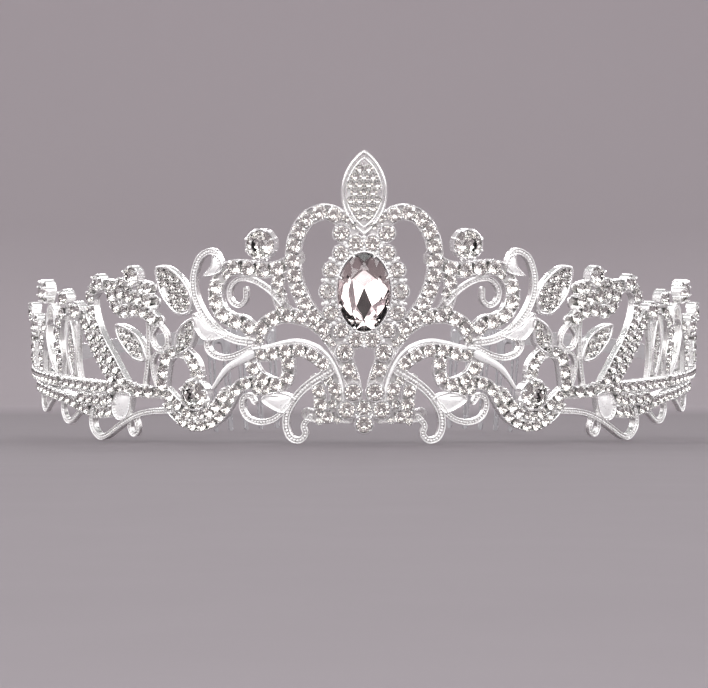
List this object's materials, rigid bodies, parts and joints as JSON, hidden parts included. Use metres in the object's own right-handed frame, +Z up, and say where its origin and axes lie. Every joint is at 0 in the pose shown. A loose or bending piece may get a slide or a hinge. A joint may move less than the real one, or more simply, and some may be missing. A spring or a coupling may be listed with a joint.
{
  "type": "crown headband",
  "caption": "Openwork crown headband of silver-coloured metal set with clear stones, with a pointed finial, a large oval stone, a spring band and two side combs.",
  "frame": {"origin": "on the surface that the crown stands on, under the middle of its width and depth", "axes": "+X to the right as seen from the front, +Y from the front to the back, +Z up"},
  "size_m": [0.152, 0.1515, 0.0589],
  "materials": {
    "frontal_metal": "polished silver-coloured plating",
    "band_steel": "polished spring steel",
    "comb_steel": "polished",
    "large_stone": "cut, faint rose tint",
    "clear_stone": "cut, foil-backed"
  },
  "bodies": {
    "root": {"frontal": "frontal_metal", "band_left": "band_steel", "band_right": "band_steel", "comb_left": "comb_steel", "comb_right": "comb_steel", "centre_stone": "large_stone", "heart_stones_left": "clear_stone", "heart_stones_right": "clear_stone", "scroll_stones_left": "clear_stone", "scroll_stones_right": "clear_stone", "swag_stones_left": "clear_stone", "swag_stones_right": "clear_stone", "outer_stones_left": "clear_stone", "outer_stones_right": "clear_stone", "drop_stone": "clear_stone", "halo_stone_1": "clear_stone", "halo_stone_2": "clear_stone", "halo_stone_3": "clear_stone", "halo_stone_4": "clear_stone", "halo_stone_5": "clear_stone", "halo_stone_6": "clear_stone", "halo_stone_7": "clear_stone", "halo_stone_8": "clear_stone", "halo_stone_9": "clear_stone", "halo_stone_10": "clear_stone", "halo_stone_11": "clear_stone", "halo_stone_12": "clear_stone", "halo_stone_13": "clear_stone", "halo_stone_14": "clear_stone", "stem_stone_right": "clear_stone", "swag_stone_right": "clear_stone", "flower_stone_right": "clear_stone", "rail_stone_right": "clear_stone", "side_stone_a_right": "clear_stone", "side_stone_b_right": "clear_stone", "side_stone_c_right": "clear_stone", "side_stone_d_right": "clear_stone", "side_stone_e_right": "clear_stone", "shoulder_stone_right": "clear_stone", "foot_stone_right": "clear_stone", "lower_stone_right": "clear_stone", "bottom_stone_right": "clear_stone", "stem_stone_left": "clear_stone", "swag_stone_left": "clear_stone", "flower_stone_left": "clear_stone", "rail_stone_left": "clear_stone", "side_stone_a_left": "clear_stone", "side_stone_b_left": "clear_stone", "side_stone_c_left": "clear_stone", "side_stone_d_left": "clear_stone", "side_stone_e_left": "clear_stone", "shoulder_stone_left": "clear_stone", "foot_stone_left": "clear_stone", "lower_stone_left": "clear_stone", "bottom_stone_left": "clear_stone"}
  },
  "joints": []
}
